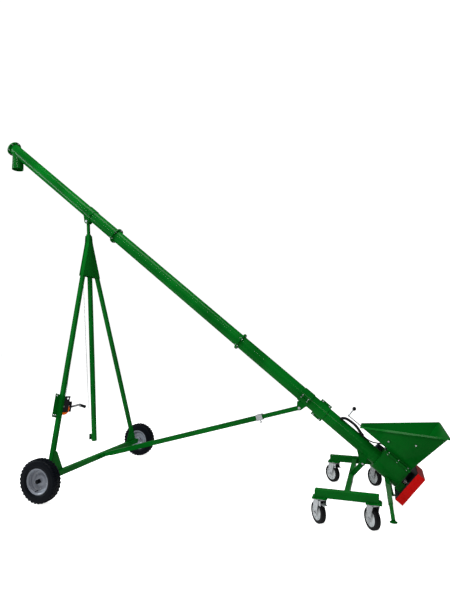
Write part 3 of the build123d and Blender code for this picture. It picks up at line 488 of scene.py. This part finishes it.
def makeWinch():
    leg = legPlace()
    length, radius = winch["gripLength"], winch["gripRadius"]
    loop = [(0.0, 0.0), (radius - 0.003, 0.0002), (radius, 0.003)]
    for rib in range(9):
        start = 0.008 + rib * (length - 0.020) / 9
        loop += [(radius, start), (radius - 0.0006, start + 0.0010), (radius - 0.0006, start + 0.0042),
                 (radius, start + 0.0052)]
    loop += [(radius, length - 0.006), (radius + 0.002, length - 0.004), (radius + 0.001, length - 0.001),
             (0.0, length)]
    grip = lathe("crankGrip", loop, 32, "black_plastic", 50.0)
    turn = math.radians(winch["crankTurn"])
    spot = (winch["drum"] + winch["crank"] * math.cos(turn), winch["gripStart"],
            winch["crank"] * math.sin(turn))
    grip.data.transform(leg @ Matrix.Translation(spot))
    settle(grip, "winch")
    (low, high), rope, drum = winch["coil"], winch["rope"], winch["drumRadius"]
    turns = int((high - low) / rope)
    loop = [(drum, low)]
    for k in range(turns):      # one layer of rope laid side by side
        for part in range(5):
            angle = math.pi * part / 5
            loop.append((0.0165 + rope / 2 * (1 + math.sin(angle)) - 0.0005,
                         low + rope * (k + 0.5 - 0.5 * math.cos(angle))))
    loop += [(drum, low + turns * rope)]
    coil = lathe("drumRope", loop, 36, "wire_rope", 60.0)
    coil.data.transform(leg @ Matrix.Translation((winch["drum"], 0, 0)))
    settle(coil, "winch")
    nut = lathe("nut", [(0.0, 0.0), (0.0088, 0.0), (0.0094, 0.0012), (0.0094, 0.0066), (0.0086, 0.0078),
                        (0.0052, 0.0078), (0.0048, 0.0112), (0.0, 0.0116)], 6, "zinc_steel", 20.0)
    heads = []
    lying = Matrix.Rotation(-math.pi / 2, 4, "Z")
    for k, (across, up) in enumerate(winch["nuts"]):      # through the plate behind the leg
        heads.append(copyTo(nut, f"clip{k}", leg @ Matrix.Translation((-0.0202, across, up)) @ lying))
    settle(joinAll("winchNuts", heads), "chassis")
    bpy.data.objects.remove(nut)


makeWinch()
print("winch dressed")


# motor beside the intake: ribbed barrel, end shields, fan cover and terminal box
motor = {"start": 3.738, "end": 4.094, "across": 0.178, "up": 0.010, "radius": 0.070, "fins": 30}


def makeMotor():
    lying = Matrix.Rotation(-math.pi / 2, 4, "Z")
    place = tubePlace @ Matrix.Translation((motor["start"], motor["across"], motor["up"])) @ lying
    radius = motor["radius"]
    length = motor["end"] - motor["start"]
    cover = [(0.0, 0.0), (0.018, 0.0)]
    for ring in range(4):      # ring slots of the fan grille
        inner = 0.020 + ring * 0.010
        cover += [(inner, 0.0), (inner + 0.0015, 0.0030), (inner + 0.0050, 0.0030), (inner + 0.0065, 0.0)]
    cover += [(radius - 0.008, 0.0), (radius - 0.002, 0.003), (radius, 0.010), (radius, 0.062),
              (radius - 0.0015, 0.0635), (0.0, 0.064)]
    shell = lathe("fanCover", cover, 56, "dark_paint", 30.0)
    barrel = [(0.0, 0.0600), (0.0605, 0.0600), (0.0605, 0.0660), (0.0665, 0.0680), (0.0680, 0.0720),
              (0.0680, 0.0820), (0.0590, 0.0840), (0.0590, length - 0.052), (0.0680, length - 0.050),
              (0.0685, length - 0.040), (0.0670, length - 0.026), (0.0610, length - 0.020),
              (0.0610, length - 0.001), (0.0570, length), (0.0, length)]
    core = lathe("barrel", barrel, 56, "dark_paint", 30.0)
    fin = block("fin", (0.0130, length - 0.138, 0.0030), (0.0635, (length + 0.032) / 2, 0.0), "dark_paint",
                0.0008, 1)
    step = 2 * math.pi / motor["fins"]
    fins = [copyTo(fin, f"fin{k}", Matrix.Rotation(step * (k + 0.5), 4, "Y")) for k in range(motor["fins"])]
    bpy.data.objects.remove(fin)
    body = joinAll("motorShell", [core, shell] + fins)
    body.data.transform(place)
    settle(body, "auger", ["motor_body"])
    box = block("terminalBox", (0.094, 0.062, 0.050), (3.898, motor["across"] + 0.002, 0.091), "dark_paint",
                0.004, 3)
    lid = block("lid", (0.096, 0.066, 0.008), (3.898, motor["across"] + 0.002, 0.1135), "dark_paint",
                0.0025, 2)
    gland = lathe("gland", [(0.0, 0.0), (0.0098, 0.0), (0.0110, 0.0015), (0.0110, 0.0080), (0.0130, 0.0090),
                            (0.0130, 0.0170), (0.0, 0.0172)], 24, "black_plastic")
    gland.data.transform(Matrix.Translation((3.8345, motor["across"], 0.098)) @ lying)
    screws = []
    for k, (along, across) in enumerate(((3.858, -0.024), (3.858, 0.028), (3.938, -0.024), (3.938, 0.028))):
        screw = lathe(f"screw{k}", [(0.0, 0.0030), (0.0025, 0.0028), (0.0036, 0.0012), (0.0036, 0.0),
                                    (0.0, 0.0)], 12, "zinc_steel")
        standing = Matrix.Rotation(math.pi / 2, 4, "X")
        screw.data.transform(Matrix.Translation((along, motor["across"] + across, 0.1172)) @ standing)
        screws.append(screw)
    for piece, slot in ((joinAll("motorTerminalBox", [box, lid]), "dark_paint"), (gland, "black_plastic"),
                        (joinAll("terminalScrews", screws), "zinc_steel")):
        piece.data.transform(tubePlace)
        settle(piece, "auger")
    gland.name = "cableGland"


makeMotor()
print("motor made")


# motor lead: off the top of the tube in a bow, then down beside the tube to the motor
lead = {"diameter": 0.012, "hose": 0.0135, "groove": 0.0022, "hoseEnd": 0.265, "ribPitch": 0.0045,
        "sides": 20, "route": ((3.332, -0.034, 0.060), (3.345, -0.034, 0.092), (3.405, -0.034, 0.106),
                               (3.480, -0.034, 0.106), (3.545, -0.031, 0.082), (3.600, -0.022, 0.072),
                               (3.660, 0.006, 0.074), (3.712, 0.070, 0.086), (3.750, 0.140, 0.098),
                               (3.790, 0.178, 0.098), (3.838, 0.178, 0.098))}


def makeLead():
    data = bpy.data.curves.new("motorLead", "CURVE")
    data.dimensions = "3D"
    spline = data.splines.new("NURBS")
    spline.points.add(len(lead["route"]) - 1)
    for point, spot in zip(spline.points, lead["route"]):
        point.co = (*(tubePlace @ Vector(spot)), 1)
    spline.order_u, spline.use_endpoint_u, spline.resolution_u = 3, True, 12
    curve = bpy.data.objects.new("motorLead", data)
    bpy.context.scene.collection.objects.link(curve)
    bpy.context.view_layer.update()
    path = [Vector(point.co) for point in bpy.data.meshes.new_from_object(curve).vertices]
    data.bevel_depth, data.bevel_resolution, data.use_fill_caps = lead["diameter"] / 2, 4, True
    data.materials.append(finishes["cable_rubber"])
    rings, travelled, step = [], 0.0, lead["ribPitch"] / 3
    end = lead["hoseEnd"]
    spots, index, here = [], 0, 0.0
    while here < end and index < len(path) - 1:      # points at even steps along the bow
        piece = (path[index + 1] - path[index]).length
        if travelled + piece < here:
            travelled += piece
            index += 1
            continue
        spots.append((path[index].lerp(path[index + 1], (here - travelled) / piece),
                      (path[index + 1] - path[index]).normalized()))
        here += step
    mesh, sides = bmesh.new(), lead["sides"]
    for k, (spot, way) in enumerate(spots):
        side = way.cross(Vector((0, 1, 0))).normalized()
        up = side.cross(way).normalized()
        radius = lead["hose"] - (lead["groove"] if k % 3 == 0 else 0.0)
        rings.append([mesh.verts.new(spot + (side * math.cos(t) + up * math.sin(t)) * radius)
                      for t in (2 * math.pi * n / sides for n in range(sides))])
    for first, second in zip(rings, rings[1:]):
        for n in range(sides):
            mesh.faces.new((first[n], first[(n + 1) % sides], second[(n + 1) % sides], second[n]))
    mesh.faces.new(rings[0])
    mesh.faces.new(list(reversed(rings[-1])))
    bmesh.ops.recalc_face_normals(mesh, faces=mesh.faces)
    hoseMesh = bpy.data.meshes.new("conduit")
    mesh.to_mesh(hoseMesh)
    mesh.free()
    hose = bpy.data.objects.new("conduit", hoseMesh)
    bpy.context.scene.collection.objects.link(hose)
    hose.data.materials.append(finishes["cable_rubber"])
    settle(curve, "auger", ["motor_cable"])
    settle(hose, "auger")


makeLead()


# brake pedals: folded plate with a rolled tread edge
pedal = {"reach": 0.042, "half": 0.019, "thick": 0.0030}


def makePedals():
    for side, finish in (("near", "zinc_steel"), ("far", "black_plastic")):
        press = joint("brake_press_" + side)
        swivel = joint("caster_swivel_" + side + "_upper")
        out = (Vector(press["pos_m"]) - Vector(swivel["pos_m"])) * Vector((1, 1, 0))
        out.normalize()
        across = Vector(press["axis"]).normalized()
        frameUp = Matrix((out, across, out.cross(across))).transposed().to_4x4()
        place = Matrix.Translation(press["pos_m"]) @ frameUp
        plate = block("plate", (pedal["reach"] - 0.004, 2 * pedal["half"], pedal["thick"]), (0.020, 0, 0.0),
                      finish)
        startFresh()
        plate.select_set(True)
        bpy.context.view_layer.objects.active = plate
        bpy.ops.object.mode_set(mode="EDIT")
        bpy.ops.mesh.select_all(action="SELECT")
        bpy.ops.mesh.subdivide(number_cuts=5)
        pickFaces(lambda spot, normal: normal.z > 0.9 and 0.010 < spot.x < 0.034 and abs(spot.y) < 0.013)
        bpy.ops.mesh.inset(thickness=0.0020, depth=0.0016)
        pickFaces(lambda spot, normal: normal.x > 0.9)
        bpy.ops.mesh.extrude_region_move(TRANSFORM_OT_translate={"value": (0.0022, 0, -0.0040)})
        bpy.ops.object.mode_set(mode="OBJECT")
        edge = plate.modifiers.new("edge", "BEVEL")
        edge.width, edge.segments, edge.limit_method, edge.angle_limit = 0.0007, 2, "ANGLE", math.radians(35)
        bpy.ops.object.modifier_apply(modifier="edge")
        barrel = lathe("barrel", [(0.0, -0.0325), (0.0042, -0.0325), (0.0050, -0.0315), (0.0050, 0.0315),
                                  (0.0042, 0.0325), (0.0, 0.0325)], 20, finish)
        made = joinAll("brakePedal_" + side, [plate, barrel])
        made.data.transform(place)
        if side == "near":
            settle(made, "brake_near", ["brake_pedal_near"])
        else:
            settle(made, "brake_far", ["brake_pedal_far"])


makePedals()
print("pedals made")


# studio
studio = {"floor": 60.0, "floorGlow": 0.88, "skySeen": 0.90, "skyFill": 0.16,
          "camera": (1.9615, -4.536, 1.521), "lens": 27.897, "pitch": 4.516, "turn": 18.794}
softboxes = (      # name, place, aim, size, power and colour of each
    ("topBox", (0.5, -1.0, 7.5), (0.3, 0, 1.0), (5.0, 2.0), 420.0, (1.0, 1.0, 1.0)),
    ("leftBox", (-7.0, -3.0, 3.6), (0, 0, 1.4), (1.4, 4.0), 420.0, (0.86, 0.96, 1.0)),
    ("frontBox", (4.5, -8.0, 4.5), (0.5, 0, 1.2), (2.0, 2.0), 115.0, (1.0, 0.99, 0.97)),
    ("stripBox", (-0.4, -5.0, 5.6), (0.2, 0, 2.0), (7.0, 0.12), 160.0, (1.0, 1.0, 1.0)))


def softbox(name, place, aim, size, power, colour):
    lamp = bpy.data.lights.new(name, "AREA")
    lamp.shape, lamp.size, lamp.size_y = "RECTANGLE", size[0], size[1]
    lamp.energy, lamp.color = power, colour
    made = bpy.data.objects.new(name, lamp)
    bpy.context.scene.collection.objects.link(made)
    made.location = place
    made.rotation_euler = (Vector(aim) - Vector(place)).to_track_quat("-Z", "Y").to_euler()


def buildStudio():
    bpy.ops.object.select_all(action="DESELECT")
    bpy.ops.mesh.primitive_plane_add(size=studio["floor"], location=(0, 0, 0))
    floor = bpy.context.object
    floor.name = "studioFloor"
    material, shader, wire, spot = newFinish("paleFloor")
    feed(shader, spot.noise(0.6, 2.0).tint((0.78, 0.78, 0.77, 1), (0.82, 0.82, 0.81, 1)), "Base Color")
    setSockets(shader, {"Roughness": 0.7, "Specular IOR Level": 0.1, "Emission Strength": 1.0})
    seen = wire.node("LightPath", {}, {}, "Is Camera Ray")
    feed(shader, seen.tint((0, 0, 0, 1), (*[studio["floorGlow"]] * 3, 1)), "Emission Color")
    floor.data.materials.append(material)
    world = bpy.data.worlds.new("studioAir")
    world.use_nodes = True
    bpy.context.scene.world = world
    sky = Wire(world.node_tree)
    seen = sky.node("LightPath", {}, {}, "Is Camera Ray")
    back = world.node_tree.nodes["Background"]
    back.inputs["Color"].default_value = (1.0, 1.0, 1.0, 1)
    world.node_tree.links.new((seen * studio["skySeen"] + studio["skyFill"]).socket,
                              back.inputs["Strength"])
    for lamp in softboxes:
        softbox(*lamp)
    lens = bpy.data.cameras.new("viewpoint")
    lens.lens, lens.sensor_width, lens.clip_end = studio["lens"], 36.0, 200.0
    camera = bpy.data.objects.new("viewpoint", lens)
    bpy.context.scene.collection.objects.link(camera)
    camera.location = studio["camera"]
    camera.rotation_euler = (math.radians(90 + studio["pitch"]), 0, math.radians(studio["turn"]))
    bpy.context.scene.camera = camera
    bpy.context.scene.view_settings.view_transform = "Standard"


buildStudio()
print("studio ready")
